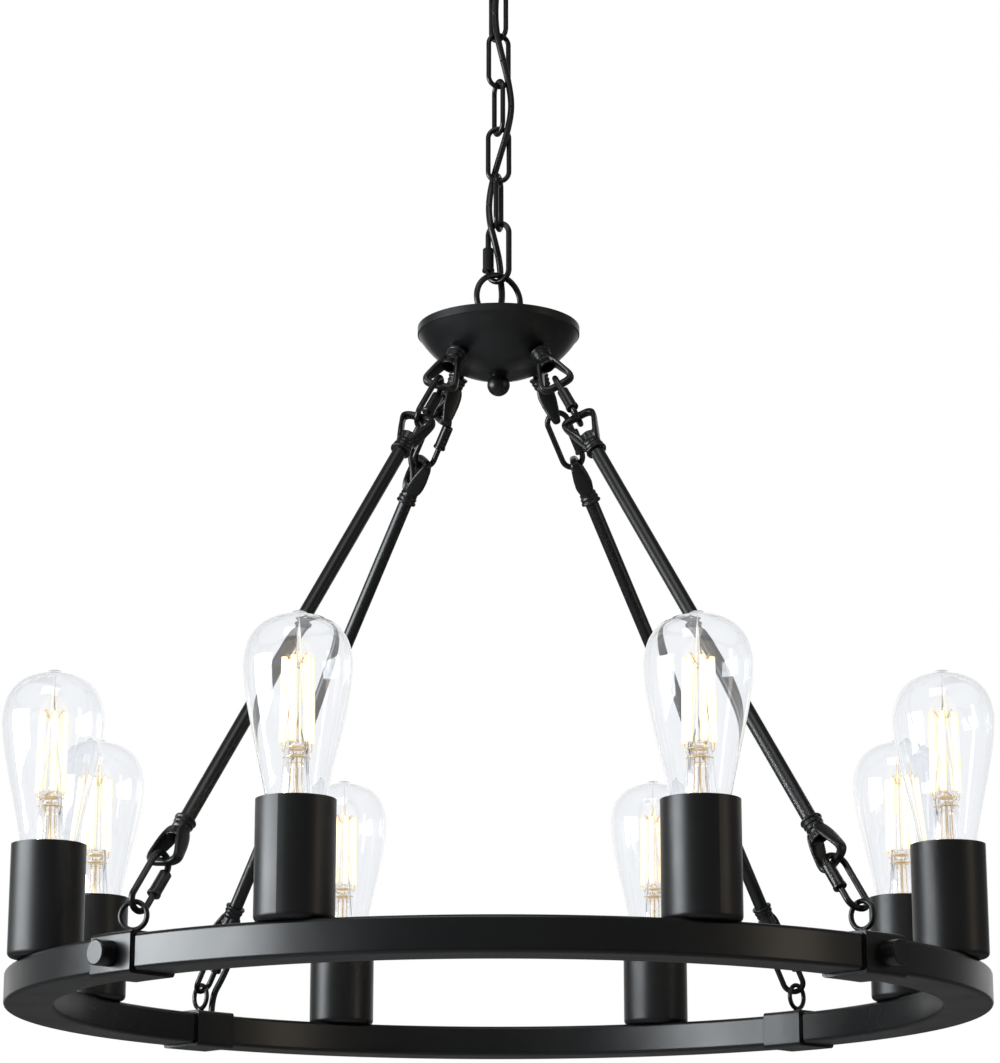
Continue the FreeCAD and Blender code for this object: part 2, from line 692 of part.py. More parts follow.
def ring_section(name, inset, wall, angle):
    """A hollow rectangular bar bent round part of the ring. inset is how far its outside
    lies inside the ring's own outside, below 0 for a collar round the ring."""
    outer = dim("ring_radius") - inset
    inner = dim("ring_radius") - dim("ring_width") + inset
    low, high = ring_lift + inset, ring_lift + dim("ring_height") - inset
    corner = dim("ring_corner")
    body = doc.addObject("PartDesign::Body", name)
    sketch = new_sketch(body, f"{name}_profile", "XZ_Plane")
    rounded_box(sketch, inner, low, outer, high, corner)
    rounded_box(
        sketch, inner + wall, low + wall, outer - wall, high - wall, corner * 0.4
    )
    return spun(body, sketch, angle)


ring_lift = size(10)


def at_ring(azimuth):
    return moved(z=ring_bottom - ring_lift, rotation=turned(Z_AXIS, azimuth))


def drills():
    """What bores the ring: the holders' nipples, the eyes, the collars' bolts and the one
    cord that goes in at the back left collar."""
    half_height = dim("ring_height") / 2
    sets = {
        "nipple": (cylinder("nipple_drill", dim("nipple_radius"), 12), [
            around(azimuth, ring_middle, ring_top - 6) for azimuth in BULB_AZIMUTHS
        ]),
        "eye": (cylinder("eye_drill", dim("eye_shank_radius"), 16), [
            eye_place(leg, ring_top - 8) for leg in LEG_AZIMUTHS
        ]),
        "bolt": (cylinder("bolt_drill", dim("bolt_shank_radius"), 24), [
            around(
                azimuth, dim("ring_radius") - 10, ring_top - half_height,
                moved(rotation=turned(Y_AXIS, 90)),
            )
            for azimuth in LEG_AZIMUTHS.values()
        ]),
        "cord": (cylinder("cord_drill", dim("cord_diameter") / 2 + 0.15, 16), [
            moved(CORD_ENTRY[0], CORD_ENTRY[1], ring_top - 8)
        ]),
    }
    return [copies(f"{name}_drills", *details) for name, details in sets.items()]


def ring_parts():
    collar, gap = DIMENSIONS["collar_angle"], math.degrees(
        DIMENSIONS["seam_gap"] / float(ring_middle)
    )
    half = collar / 2
    spans = {
        "front": (225 + half + gap, 315 - half - gap),
        "right": (-45 - half, 45 - half - gap),
        "back": (45 - half, 135 + half),
        "left": (135 + half + gap, 225 + half),
    }
    arcs = []
    for side, (start, end) in spans.items():
        bar = ring_section(f"arc_bar_{side}", size(0), dim("ring_wall"), size(end - start))
        one = group(f"arc_{side}", bar)
        one.Placement = at_ring(start)
        arcs.append(one)
    bored = group("ring_drills", *drills())
    made = [cut("ring_arcs", group("ring_bars", *arcs), bored)]

    sleeve = ring_section(
        "collar_sleeve", -dim("collar_wall"), dim("collar_wall") - 0.02, dim("collar_angle")
    )
    sleeves = copies("collar_sleeves", sleeve, [
        at_ring(azimuth - half) for azimuth in LEG_AZIMUTHS.values()
    ])
    made.append(cut("ring_collars", sleeves, bored))

    splice_angle = DIMENSIONS["splice_angle"]
    inset = dim("ring_wall") + dim("splice_play")
    splice = ring_section("splice_bar", inset, dim("splice_wall"), dim("splice_angle"))
    # each splice is centred on the seam beside its collar
    seams = [225 + half, 315 - half, 45 - half, 135 + half]
    splices = copies("splice_bars", splice, [at_ring(s - splice_angle / 2) for s in seams])
    made.append(cut("ring_splices", splices, bored))

    head, shank = dim("bolt_head_radius"), dim("bolt_shank_radius")
    height, reach = dim("bolt_head_height"), size(8)
    bolt = revolved("bolt_shape", [
        (0, 0), (shank, 0), (shank, reach), (head, reach), (head, reach + height - 0.8),
        (head - 0.8, reach + height), (0, reach + height),
    ])
    made.append(copies("collar_bolts", bolt, [
        around(
            azimuth, dim("ring_radius") + dim("collar_wall") - reach,
            ring_top - dim("ring_height") / 2, moved(rotation=turned(Y_AXIS, 90)),
        )
        for azimuth in LEG_AZIMUTHS.values()
    ]))

    wire, collar_top = dim("eye_wire_radius"), dim("collar_wall")
    loop = half_ring("eye_wire", dim("eye_radius"), wire, rotation=turned(X_AXIS, 90), sweep=360)
    shank_top = -dim("eye_radius")
    shank_low = -dim("eye_height") - 7.5
    stem = cylinder("eye_stem", dim("eye_shank_radius"), shank_top - shank_low, z=shank_low)
    washer = cylinder(
        "eye_washer", dim("eye_washer_radius"), dim("eye_washer_height"),
        z=-dim("eye_height") + collar_top,
    )
    eye = fused("eye_shape", loop, stem, washer)
    made.append(copies("ring_eyes", eye, [eye_place(leg, eye_z) for leg in LEG_AZIMUTHS]))
    return made


# ---------------------------------------------------------------- lights


def light_parts():
    radius, height, wall = dim("cup_radius"), dim("cup_height"), dim("cup_wall")
    corner, thread = dim("cup_corner"), dim("nipple_radius")
    cup = revolved("cup_shape", [
        (thread, 0), (radius - corner, 0, corner), (radius, corner), (radius, height),
        (radius - wall, height), (radius - wall, corner, -(corner - wall)),
        (radius - corner, wall), (thread, wall),
    ])
    outside, base = dim("holder_radius"), dim("holder_base")
    tall = height - wall - base - dim("holder_top_gap")
    bore, floor = dim("holder_bore_radius"), tall - dim("holder_bore_depth")
    holder = revolved("holder_shape", [
        (thread, 0), (outside - 4, 0), (outside, 5), (outside, tall - 1),
        (outside - 1, tall), (bore, tall), (bore, floor), (thread, floor),
    ])
    shell_out = bore - 0.05
    shell = revolved("shell_shape", [
        (shell_out - dim("shell_wall"), 0), (shell_out, 0), (shell_out, dim("shell_height")),
        (shell_out - dim("shell_wall"), dim("shell_height")),
    ])
    nipple = revolved("holder_nipple", [
        (dim("nipple_bore_radius"), 0), (thread, 0), (thread, 24),
        (dim("nipple_bore_radius"), 24),
    ])
    nut = hex_nut("holder_nut", dim("nut_radius"), thread, dim("nut_height"))
    nipple_low = ring_top - dim("ring_wall") - 7
    places = {
        "socket_cups": (cup, [ring_top]),
        "lampholders": (holder, [ring_top + wall + base]),
        "lampholder_shells": (shell, [ring_top + wall + base + floor + 0.1]),
    }
    made = []
    for name, (shape, heights) in places.items():
        made.append(copies(name, shape, [
            around(azimuth, ring_middle, z) for azimuth in BULB_AZIMUTHS for z in heights
        ]))
    set_of_three = group("holder_hardware", *[
        copies("holder_nipples", nipple, [
            around(azimuth, ring_middle, nipple_low) for azimuth in BULB_AZIMUTHS
        ]),
        copies("holder_nuts", nut, [
            around(azimuth, ring_middle, z)
            for azimuth in BULB_AZIMUTHS
            for z in (
                ring_top - dim("ring_wall") - dim("nut_height"),
                ring_top + wall,
            )
        ]),
    ])
    return made + [set_of_three] + bulbs()


def bulbs():
    """Long pear-shaped filament bulbs. A bulb's origin is the foot of its cap."""
    r, belt, glass = dim("bulb_radius"), dim("bulb_belt"), dim("bulb_glass")
    tip, pip = dim("bulb_length"), dim("bulb_pip_radius")
    dome, cap, cap_top = r - pip, dim("cap_radius"), dim("cap_height")
    shoulder = tip - dim("bulb_pip_height")
    envelope = revolved("bulb_glass_shell", [
        (cap - 1.4, cap_top - 6), (cap - 0.2, cap_top), (18.3, cap_top + 6),
        (28.6, belt - 30, 120), (r, belt, dome), (pip, shoulder), (3.6, tip - 1.8), (0.8, tip),
        (0, tip), (0, shoulder - glass), (pip, shoulder - glass, -(dome - glass)),
        (r - glass, belt, -(size(120) - glass)),
        (size(28.6) - glass, belt - 30), (size(18.3) - glass, cap_top + 6),
        (cap - glass, cap_top), (cap - 2.2, cap_top - 6),
    ])
    screw_cap = revolved("bulb_cap", [
        (0, 0), (dim("cap_tip_radius"), 0), (cap - 2, 5), (cap - 1.6, 7), (cap, 8.5),
        (cap, cap_top - 0.2), (cap - 1.25, cap_top - 6.2), (cap - 2.3, cap_top - 6.2),
        (cap - 3, 8), (0, 6),
    ])
    stem = revolved("bulb_stem", [
        (0, 8), (7, 10), (dim("stem_radius"), 34), (4, dim("stem_height") - 4, 4),
        (0, dim("stem_height")),
    ])
    filaments = [
        cylinder(
            f"filament_{number}", dim("filament_radius"), dim("filament_length"),
            x=float(dim("filament_circle")) * math.cos(math.radians(60 * number)),
            y=float(dim("filament_circle")) * math.sin(math.radians(60 * number)),
            z=dim("stem_height") + 2,
        )
        for number in range(6)
    ]
    whole = group("bulb_pieces", envelope, screw_cap, stem, *filaments)
    made = []
    for number, azimuth in enumerate(BULB_AZIMUTHS, start=1):
        bulb = group(f"bulb_{number}", whole)
        bulb.Placement = around(azimuth, ring_middle, cup_top - dim("bulb_depth"))
        made.append(bulb)
    return made


# ---------------------------------------------------------------- cords

CORD_ENTRY = (-206.5, 213)

# Points chosen by hand from the canopy's hole, through the chain's links, to the hub.
CHAIN_CORD = [
    (0, -18, -27), (0, -18, -40), (-0.5, -12.5, -54.5), (-1.5, -7, -69.5), (-2.5, -5, -84.5),
    (-1.5, -5.5, -101), (2.5, -5, -118.5), (7, -4, -137), (9.5, -5, -156),
    (6.5, -5.5, -174), (1, 0, -191), (-4.5, 5, -208.5), (-7, 2.5, -226), (-6, -3, -242.5),
    (-2, -1, -257), (1, 4.5, -269.5), (1.5, 7, -281), (2.5, 3, -291.5), (2, -6, -302),
    (0, -15, -313), (0, -15, -326),
]


# The one branch cord comes out of the hub's back left hook, passes its quick link, runs
# down inside the rod and enters the ring beside the eye.
BRANCH_ABOVE = [
    (-26, 26, -340.5), (-31, 31, -350.5), (-35.5, 35.5, -359.5), (-48.5, 42, -366),
    (-58.5, 46.5, -378.5), (-62, 52.5, -392.5), (-59.5, 57, -405.5), (-61, 61, -416),
]
BRANCH_BELOW = [
    (-195, 195.5, -707.5), (-192.5, 202, -718.5), (-194, 207.5, -729.5), (-199.5, 211.5, -741),
    (*CORD_ENTRY, -753.5), (*CORD_ENTRY, -767.5),
]


def cord(name, points):
    """A round cord along straight runs joined by tangent arcs, each as large as its two
    runs allow. Its least radius and its volume against section times length are printed."""
    corners = [Vector(*p) for p in points]
    edges, here, length, least = [], corners[0], 0.0, math.inf
    for before, corner, after in zip(corners, corners[1:], corners[2:]):
        into, out = (corner - before).normalize(), (after - corner).normalize()
        turn = into.getAngle(out)
        if turn < 1e-6:
            continue
        trim = 0.45 * min((corner - before).Length, (after - corner).Length)
        radius = trim / math.tan(turn / 2)
        start, end = corner - into * trim, corner + out * trim
        towards = (out - into).normalize()
        middle = corner + towards * (radius / math.cos(turn / 2) - radius)
        edges.append(Part.LineSegment(here, start).toShape())
        edges.append(Part.Arc(start, middle, end).toShape())
        length += (start - here).Length + radius * turn
        here, least = end, min(least, radius)
    edges.append(Part.LineSegment(here, corners[-1]).toShape())
    length += (corners[-1] - here).Length
    path = Part.Wire(edges)
    radius = float(dim("cord_diameter")) / 2
    section = Part.Wire([Part.makeCircle(radius, corners[0], corners[1] - corners[0])])
    solid = path.makePipeShell([section], True, False)
    made = doc.addObject("Part::Feature", name)
    made.Shape = solid
    share = solid.Volume / (math.pi * radius * radius * length)
    print(f"{name}: length {length:.1f}, least radius {least:.1f}, volume share {share:.4f}")
    return made


def leg_point(azimuth, distance):
    """A point on a leg's line, as plain coordinates."""
    p = along_leg(azimuth, distance).Base
    return (p.x, p.y, p.z)


def cords():
    azimuth = LEG_AZIMUTHS["back_left"]
    inside = [rod_start + 4 + (rod_length - 8) * k / 8 for k in range(9)]
    in_rod = [leg_point(azimuth, distance) for distance in inside]
    upper = BRANCH_ABOVE + in_rod[:5]
    lower = in_rod[4:] + [leg_point(azimuth, rod_end + 7)] + BRANCH_BELOW
    return [
        cord("chain_cord", CHAIN_CORD), cord("leg_cord_upper", upper),
        cord("leg_cord_lower", lower),
    ]


# ---------------------------------------------------------------- the whole chandelier


def check_document():
    """Stop if any object failed to build."""
    for obj in doc.Objects:
        if "Invalid" in obj.State or "Error" in obj.State:
            raise RuntimeError(f"{obj.Name} did not build: {obj.State}")


def main():
    gate_sleeve("gate_sleeve")
    cast_hook("cast_hook")
    nodes = (
        canopy_parts() + chain_parts() + hub_parts() + leg_parts() + ring_parts()
        + light_parts() + cords()
    )
    doc.recompute()
    check_document()
    os.makedirs("parts", exist_ok=True)
    for node in nodes:
        node.Label = node.Name
        shape = node.Shape
        if shape.isNull() or not shape.isValid() or not shape.Solids:
            raise RuntimeError(f"{node.Name} has no sound shape")
        solids = shape.Solids
        whole = solids[0] if len(solids) == 1 else Part.makeCompound(solids)
        whole.exportStep(f"parts/{node.Label}.step")
    print(f"{len(nodes)} nodes, leg tilt {leg_tilt:.2f}, rod length {rod_length:.1f}")


main()
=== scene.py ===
import json
import math

import bmesh
import bpy
from mathutils import Matrix, Vector


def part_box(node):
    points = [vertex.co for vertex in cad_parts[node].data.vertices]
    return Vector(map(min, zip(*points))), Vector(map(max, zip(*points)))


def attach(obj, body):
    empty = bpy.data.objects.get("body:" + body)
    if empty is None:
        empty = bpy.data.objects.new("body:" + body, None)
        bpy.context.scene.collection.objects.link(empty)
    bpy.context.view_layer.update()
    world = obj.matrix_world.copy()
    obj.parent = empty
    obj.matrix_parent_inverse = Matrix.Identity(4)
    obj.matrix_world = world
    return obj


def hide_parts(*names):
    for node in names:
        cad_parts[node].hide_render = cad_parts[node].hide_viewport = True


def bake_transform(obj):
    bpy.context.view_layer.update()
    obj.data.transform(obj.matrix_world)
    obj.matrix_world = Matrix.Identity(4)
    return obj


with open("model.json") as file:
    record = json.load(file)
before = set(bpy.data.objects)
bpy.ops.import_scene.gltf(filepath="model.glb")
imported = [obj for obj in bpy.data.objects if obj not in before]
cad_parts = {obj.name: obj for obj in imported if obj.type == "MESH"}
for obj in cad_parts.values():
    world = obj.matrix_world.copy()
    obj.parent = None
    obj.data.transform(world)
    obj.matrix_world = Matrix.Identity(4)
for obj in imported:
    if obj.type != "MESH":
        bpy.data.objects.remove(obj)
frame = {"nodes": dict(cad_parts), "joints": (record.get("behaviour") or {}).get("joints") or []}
nodes = frame["nodes"]
joints = {joint["name"]: joint for joint in frame["joints"]}
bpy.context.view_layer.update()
scene = bpy.context.scene


# ---------------------------------------------------------------- camera

# It stands in front of the ring and a little below it, and looks up by so many degrees.
CAMERA_PLACE = (0.001, -2.1005, -1.0119)
CAMERA_PITCH = 14.655

camera_data = bpy.data.cameras.new("camera")
camera_data.sensor_fit = "HORIZONTAL"
camera_data.sensor_width = 36.0
camera_data.lens = 115.2
camera_data.clip_end = 30.0
camera = bpy.data.objects.new("camera", camera_data)
camera.location = CAMERA_PLACE
camera.rotation_euler = (math.radians(90 + CAMERA_PITCH), 0, 0)
scene.collection.objects.link(camera)
scene.camera = camera
scene.view_settings.view_transform = "Standard"


# ---------------------------------------------------------------- shapes

# A lathe point nearer to the axis than this, in metres, is one vertex on the axis.
ON_AXIS = 1e-7


def metres(profile):
    """A profile of (radius, height) points turned from millimetres into metres."""
    return [(radius / 1000, height / 1000) for radius, height in profile]


def around(angle, radius, height):
    """The point at this angle, in radians, and radius from the upright axis."""
    return Vector((radius * math.cos(angle), radius * math.sin(angle), height))


def smoothed(points, steps):
    """A smooth curve through the points, in so many steps from each one to the next."""
    held = [points[0], *points, points[-1]]
    curve = []
    for four in zip(held, held[1:], held[2:], held[3:]):
        for j in range(steps):
            t = j / steps
            curve.append(tuple(
                0.5 * (2 * b + (c - a) * t + (2 * a - 5 * b + 4 * c - d) * t * t
                       + (3 * b - a - 3 * c + d) * t ** 3)
                for a, b, c, d in zip(*four)
            ))
    curve.append(points[-1])
    return curve


def mesh_object(name, vertices, faces, material=None, smooth=True):
    """A new object in the scene with this mesh, shaded smooth or flat."""
    mesh = bpy.data.meshes.new(name)
    mesh.from_pydata([tuple(v) for v in vertices], [], faces)
    mesh.update()
    if smooth:
        mesh.polygons.foreach_set("use_smooth", [True] * len(mesh.polygons))
    obj = bpy.data.objects.new(name, mesh)
    scene.collection.objects.link(obj)
    if material:
        mesh.materials.append(material)
    return obj


def tube_faces(rings, sides):
    """The faces of a tube with closed ends, whose vertices lie ring after ring."""
    faces = []
    for i in range(rings - 1):
        for k in range(sides):
            a, b = i * sides + k, i * sides + (k + 1) % sides
            faces.append((a, b, b + sides, a + sides))
    faces.append(tuple(reversed(range(sides))))
    faces.append(tuple(range((rings - 1) * sides, rings * sides)))
    return faces


def swept(name, path, radius, sides=20, material=None):
    """A round tube with closed ends along a path of points. Its section is carried along
    without twisting."""
    vertices = []
    side = None
    for i, point in enumerate(path):
        ahead = path[min(i + 1, len(path) - 1)] - path[max(i - 1, 0)]
        ahead.normalize()
        if side is None:
            side = ahead.orthogonal().normalized()
        side = (side - ahead * side.dot(ahead)).normalized()
        other = ahead.cross(side)
        for k in range(sides):
            a = 2 * math.pi * k / sides
            vertices.append(point + radius * (math.cos(a) * side + math.sin(a) * other))
    return mesh_object(name, vertices, tube_faces(len(path), sides), material)


def lathe(name, profile, sides, material=None):
    """A surface turned about Z from (radius, height) points in metres."""
    vertices, faces, rows = [], [], []
    for radius, height in profile:
        if radius < ON_AXIS:
            rows.append([len(vertices)])
            vertices.append((0, 0, height))
        else:
            rows.append(list(range(len(vertices), len(vertices) + sides)))
            vertices += [around(2 * math.pi * k / sides, radius, height) for k in range(sides)]
    for a, b in zip(rows, rows[1:]):
        if len(a) == 1 and len(b) == 1:
            continue
        for k in range(sides):
            n = (k + 1) % sides
            if len(a) == 1:
                faces.append((a[0], b[n], b[k]))
            elif len(b) == 1:
                faces.append((a[k], a[n], b[0]))
            else:
                faces.append((a[k], a[n], b[n], b[k]))
    return mesh_object(name, vertices, faces, material)


def joined(name, parts):
    """One mesh object from several."""
    with bpy.context.temp_override(
        object=parts[0], active_object=parts[0], selected_objects=parts,
        selected_editable_objects=parts,
    ):
        bpy.ops.object.join()
    parts[0].name = name
    return parts[0]


# ---------------------------------------------------------------- legs

# The way each leg points, in degrees about the upright axis.
LEG_AZIMUTHS = {"front_left": 225, "front_right": 315, "back_right": 45, "back_left": 135}
# A leg's line: where it starts, in millimetres from the chandelier's axis and from the
# ceiling, its lean, and how far along it the rod starts and ends.
LEG_TOP_RADIUS, LEG_TOP_HEIGHT, LEG_TILT = 39.3, -344.0, math.radians(33.16)
ROD_START, ROD_END = 96.7, 415.1


def leg_frame(leg, distance, turn, back=False):
    """A place on a leg's line, in metres. Its Z runs down the leg, or up it when back is
    set, and its X is turned about the leg, in degrees, from the leg's own upright plane."""
    a, t = math.radians(LEG_AZIMUTHS[leg]), math.radians(turn)
    radial, up = Vector((math.cos(a), math.sin(a), 0)), Vector((0, 0, 1))
    down = radial * math.sin(LEG_TILT) - up * math.cos(LEG_TILT)
    out = radial * math.cos(LEG_TILT) + up * math.sin(LEG_TILT)
    side = down.cross(out)
    x = out * math.cos(t) + side * math.sin(t)
    y = side * math.cos(t) - out * math.sin(t)
    axes = (x, -y, -down) if back else (x, y, down)
    start = radial * LEG_TOP_RADIUS + up * LEG_TOP_HEIGHT + down * distance
    return Matrix.Translation(start / 1000) @ Matrix(axes).transposed().to_4x4()


# ---------------------------------------------------------------- cords

# In metres: half a cord's thickness.
CORD_RADIUS = 0.0023
# The routes, in millimetres: from the canopy's hole through the chain's links to the hub,
# and from the hub's back left hook past its quick link, inside the rod, into the ring.
CHAIN_CORD = [
    (0, -18, -27), (0, -18, -40), (-0.5, -12.5, -54.5), (-1.5, -7, -69.5), (-2.5, -5, -84.5),
    (-1.5, -5.5, -101), (2.5, -5, -118.5), (7, -4, -137), (9.5, -5, -156),
    (6.5, -5.5, -174), (1, 0, -191), (-4.5, 5, -208.5), (-7, 2.5, -226), (-6, -3, -242.5),
    (-2, -1, -257), (1, 4.5, -269.5), (1.5, 7, -281), (2.5, 3, -291.5), (2, -6, -302),
    (0, -15, -313), (0, -15, -326),
]
BRANCH_ABOVE = [
    (-26, 26, -340.5), (-31, 31, -350.5), (-35.5, 35.5, -359.5), (-48.5, 42, -366),
    (-58.5, 46.5, -378.5), (-62, 52.5, -392.5), (-59.5, 57, -405.5), (-61, 61, -416),
]
# The branch cord's points on the leg's line: how far inside the rod's top the first one is,
# how far apart they are, how far past the rod's foot the last one is, and which one of them
# the cord's two halves share.
ROD_INSET, ROD_STEP, PAST_ROD, SHARED = 4, 38.8, 7, 4
IN_ROD = [ROD_START + ROD_INSET + ROD_STEP * k for k in range(9)] + [ROD_END + PAST_ROD]
BRANCH_BELOW = [
    (-195, 195.5, -707.5), (-192.5, 202, -718.5), (-194, 207.5, -729.5), (-199.5, 211.5, -741),
    (-206.5, 213, -753.5), (-206.5, 213, -767.5),
]


def cord_line(name, points):
    """The points of a smooth cord, in metres, read from a spline steered by the route."""
    curve = bpy.data.curves.new(name, "CURVE")
    curve.dimensions = "3D"
    curve.resolution_u = 16
    spline = curve.splines.new("NURBS")
    spline.points.add(len(points) - 1)
    for target, point in zip(spline.points, points):
        target.co = (*[value / 1000 for value in point], 1)
    spline.order_u = 3
    spline.use_endpoint_u = True
    holder = bpy.data.objects.new(name, curve)
    mesh = bpy.data.meshes.new_from_object(holder)
    line = [vertex.co.copy() for vertex in mesh.vertices]
    bpy.data.meshes.remove(mesh)
    bpy.data.curves.remove(curve)
    return line


def declare_cord(node):
    """Hide the part that a cord piece stands in for."""
    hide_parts(node)


def chain_cord_pieces():
    """One stretch of the chain's cord for each joint of the chain, across that joint.
    Neighbouring stretches meet halfway between their joints."""
    swings = ["link_1", "link_2", "link_3", "link_4", "link_5", "main_link", "hub"]
    pivots = [joints[f"{name}_swing"]["pos_m"][2] for name in swings]
    line = cord_line("chain_cord_line", CHAIN_CORD)
    cuts = [(a + b) / 2 for a, b in zip(pivots, pivots[1:])]
    tops, lows = [math.inf] + cuts, cuts + [-math.inf]
    made = []
    for i, pivot in enumerate(pivots):
        inside = [k for k, point in enumerate(line) if lows[i] < point.z <= tops[i]]
        stretch = line[inside[0]:inside[-1] + 2]
        piece = swept(f"chain_cord_{i + 1}", stretch, CORD_RADIUS)
        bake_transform(piece)
        declare_cord("chain_cord")
        made.append(piece)
    return made


def branch_cord_pieces():
    """The branch cord in two halves that meet inside the rod."""
    in_rod = [leg_frame("back_left", d, 0).translation * 1000 for d in IN_ROD]
    upper = cord_line("leg_cord_upper_line", BRANCH_ABOVE + in_rod[:SHARED + 1])
    lower = cord_line("leg_cord_lower_line", in_rod[SHARED:] + BRANCH_BELOW)
    first = swept("branch_cord_upper", upper, CORD_RADIUS)
    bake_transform(first)
    declare_cord("leg_cord_upper")
    second = swept("branch_cord_lower", lower, CORD_RADIUS)
    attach(second, "leg_back_left")
    declare_cord("leg_cord_lower")
    return [first, second]


cord_pieces = chain_cord_pieces() + branch_cord_pieces()


# ---------------------------------------------------------------- materials

# The numbers of a mix node's colour sockets: its other sockets have the same names.
COLOUR_A, COLOUR_B, COLOUR_OUT = 6, 7, 2


class Nodes:
    """A small helper to add nodes to a node tree and wire them."""

    def __init__(self, tree):
        self.tree = tree

    def add(self, kind, inputs=None, **settings):
        """A new node with these settings and inputs."""
        node = self.tree.nodes.new(kind)
        for key, value in settings.items():
            setattr(node, key, value)
        for key, value in (inputs or {}).items():
            self.set(node, key, value)
        return node

    def set(self, node, key, value):
        """Give an input a value, or wire another node's output to it."""
        if isinstance(value, bpy.types.NodeSocket):
            self.tree.links.new(value, node.inputs[key])
        else:
            node.inputs[key].default_value = value

    def combine(self, operation, first, second):
        """The sum, product or greater of two values."""
        return self.add("ShaderNodeMath", {0: first, 1: second}, operation=operation).outputs[0]

    def ramp(self, value, low, high, a, b, shape="LINEAR"):
        """The range from low to high turned into the range from a to b."""
        node = self.add("ShaderNodeMapRange", {
            "Value": value, "From Min": low, "From Max": high, "To Min": a, "To Max": b,
        }, interpolation_type=shape)
        return node.outputs["Result"]


class Shader(Nodes):
    """One material, built up from its surface node."""

    def __init__(self, name):
        self.material = bpy.data.materials.new(name)
        self.material.use_nodes = True
        super().__init__(self.material.node_tree)
        self.bsdf = self.tree.nodes["Principled BSDF"]

    def noise(self, scale, detail, roughness):
        """Noise fixed to the object, with a scale of about so many grains a metre."""
        place = self.add("ShaderNodeTexCoord").outputs["Object"]
        node = self.add("ShaderNodeTexNoise", {
            "Scale": scale, "Detail": detail, "Roughness": roughness, "Vector": place,
        })
        return node.outputs["Fac"]

    def mix(self, factor, a, b):
        """A colour between a and b."""
        node = self.add("ShaderNodeMix", {"Factor": factor, COLOUR_A: a, COLOUR_B: b},
                        data_type="RGBA")
        return node.outputs[COLOUR_OUT]

    def bump(self, height, distance, strength, normal=None):
        """A relief up to this distance high, in metres, on the surface or another normal."""
        node = self.add("ShaderNodeBump", {
            "Height": height, "Distance": distance, "Strength": strength,
        })
        if normal:
            self.set(node, "Normal", normal)
        return node.outputs["Normal"]

    def soft_edges(self, radius):
        """A normal that rounds the edges off with this radius, in metres."""
        return self.add("ShaderNodeBevel", {"Radius": radius}, samples=8).outputs["Normal"]

    def finish(self, **values):
        """The material, once the inputs of its surface are set."""
        for key, value in values.items():
            self.set(self.bsdf, key.replace("_", " "), value)
        return self.material


def powder_coat(name, colour, rough_low, rough_high, edge=0.0003, relief=0.00002):
    """Satin powder coat: a fine orange-peel skin, slightly uneven gloss and faint dust."""
    s = Shader(name)
    peel = s.noise(900, 3, 0.5)
    cloud = s.noise(14, 3, 0.6)
    skin = s.bump(peel, relief, 0.35, s.soft_edges(edge))
    dust = s.ramp(s.noise(160, 6, 0.7), 0.55, 0.8, 0.0, 0.14)
    lighter = [c * 2.2 + 0.004 for c in colour] + [1]
    tint = s.mix(dust, list(colour) + [1], lighter)
    rough = s.ramp(cloud, 0.3, 0.7, rough_low, rough_high)
    return s.finish(
        Base_Color=tint, Roughness=rough, Normal=skin, Specular_IOR_Level=0.5, IOR=1.5,
    )


def plated(name, colour, rough_low, rough_high):
    """Plated or drawn metal with a fine grain and slightly uneven gloss."""
    s = Shader(name)
    cloud = s.noise(30, 4, 0.6)
    fine = s.noise(400, 3, 0.5)
    rough = s.ramp(cloud, 0.3, 0.7, rough_low, rough_high)
    tint = s.mix(
        s.ramp(fine, 0.35, 0.65, 0.0, 0.35), list(colour) + [1],
        [c * 0.78 for c in colour] + [1],
    )
    return s.finish(
        Base_Color=tint, Metallic=1.0, Roughness=rough,
        Normal=s.bump(fine, 0.00002, 0.3, s.soft_edges(0.0002)),
    )


def moulded(name, colour, rough_low, rough_high, relief=0.00003, scale=700):
    """Moulded plastic with a fine grain and slightly uneven gloss and colour."""
    s = Shader(name)
    fine, cloud = s.noise(scale, 4, 0.5), s.noise(25, 3, 0.6)
    rough = s.ramp(cloud, 0.3, 0.7, rough_low, rough_high)
    tint = s.mix(
        s.ramp(cloud, 0.35, 0.65, 0.0, 1.0), list(colour) + [1],
        [c * 1.25 + 0.002 for c in colour] + [1],
    )
    return s.finish(
        Base_Color=tint, Roughness=rough, Normal=s.bump(fine, relief, 0.4, s.soft_edges(0.0002)),
    )


def glass(name, tint, painted_glow):
    """Clear blown glass, with very faint waves, and a faint painted glow: the glass emits warm
    light of its own, standing in for the lit filaments' light that it scatters.
    """
    s = Shader(name)
    wave = s.noise(18, 2, 0.4)
    return s.finish(
        Base_Color=list(tint) + [1], Roughness=s.ramp(wave, 0.3, 0.7, 0.0, 0.012),
        Transmission_Weight=1.0, IOR=1.45, Normal=s.bump(wave, 0.00012, 0.25),
        # Painted glow: a faint warm emission of the glass itself, standing in for the filaments'
        # light scattered in it.
        Emission_Color=[1.0, 0.96, 0.92, 1], Emission_Strength=painted_glow,
    )


def glowing(name):
    """A lit filament: small lights in a row under a warm translucent coat, which is
    thicker, so deeper in colour, where it is seen edge on."""
    s = Shader(name)
    grain = s.ramp(s.noise(260, 2, 0.5), 0.3, 0.7, -0.12, 0.12)
    edge = s.add("ShaderNodeLayerWeight", {"Blend": 0.5}).outputs["Facing"]
    tone = s.ramp(s.combine("ADD", edge, grain), 0.22, 0.80, 0.0, 1.0)
    return s.finish(
        Base_Color=[0.9, 0.7, 0.35, 1], Roughness=0.5,
        Emission_Color=s.mix(tone, [1.0, 0.94, 0.78, 1], [1.0, 0.62, 0.20, 1]),
        Emission_Strength=s.ramp(tone, 0.0, 1.0, 1.25, 0.66),
    )
